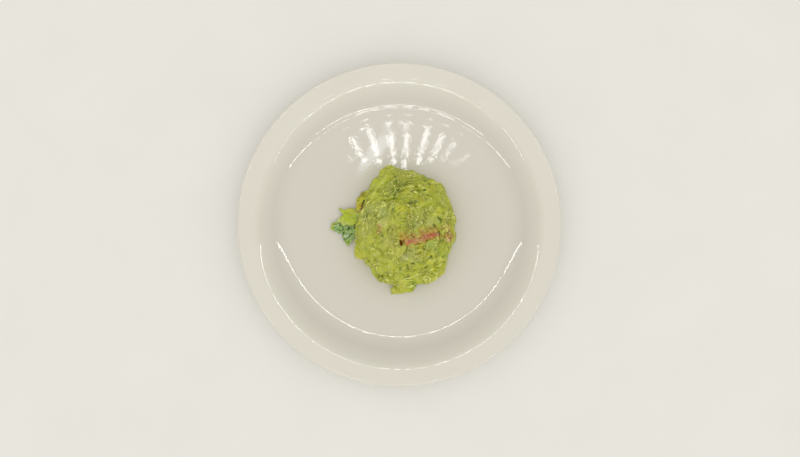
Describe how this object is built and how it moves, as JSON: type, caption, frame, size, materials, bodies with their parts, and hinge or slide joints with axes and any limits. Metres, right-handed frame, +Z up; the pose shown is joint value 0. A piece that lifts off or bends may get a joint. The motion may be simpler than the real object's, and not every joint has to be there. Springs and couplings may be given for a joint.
{
  "type": "guacamole on a plate",
  "caption": "Mound of chunky guacamole with tomato and coriander, served in the middle of a round white plate with a wide rim.",
  "frame": {"origin": "middle of the plate's foot ring, on the surface the plate stands on", "axes": "+Z up, -Y towards the front of the plate, +X to its right"},
  "size_m": [0.23, 0.23, 0.0354],
  "materials": {
    "plate_glaze": "warm white gloss glaze",
    "guacamole": "moist mashed avocado",
    "tomato_flesh": "wet tomato flesh",
    "tomato_skin": "tomato skin smeared with avocado",
    "coriander": "crinkled dark leaf",
    "pale_leaf": "smooth pale leaf"
  },
  "bodies": {
    "root": {"plate": "plate_glaze", "guacamole": "guacamole", "tomato_strip": "tomato_flesh", "tomato_end": "tomato_flesh", "tomato_skin": "tomato_skin", "coriander_leaf": "coriander", "pale_leaf": "pale_leaf"}
  },
  "joints": []
}
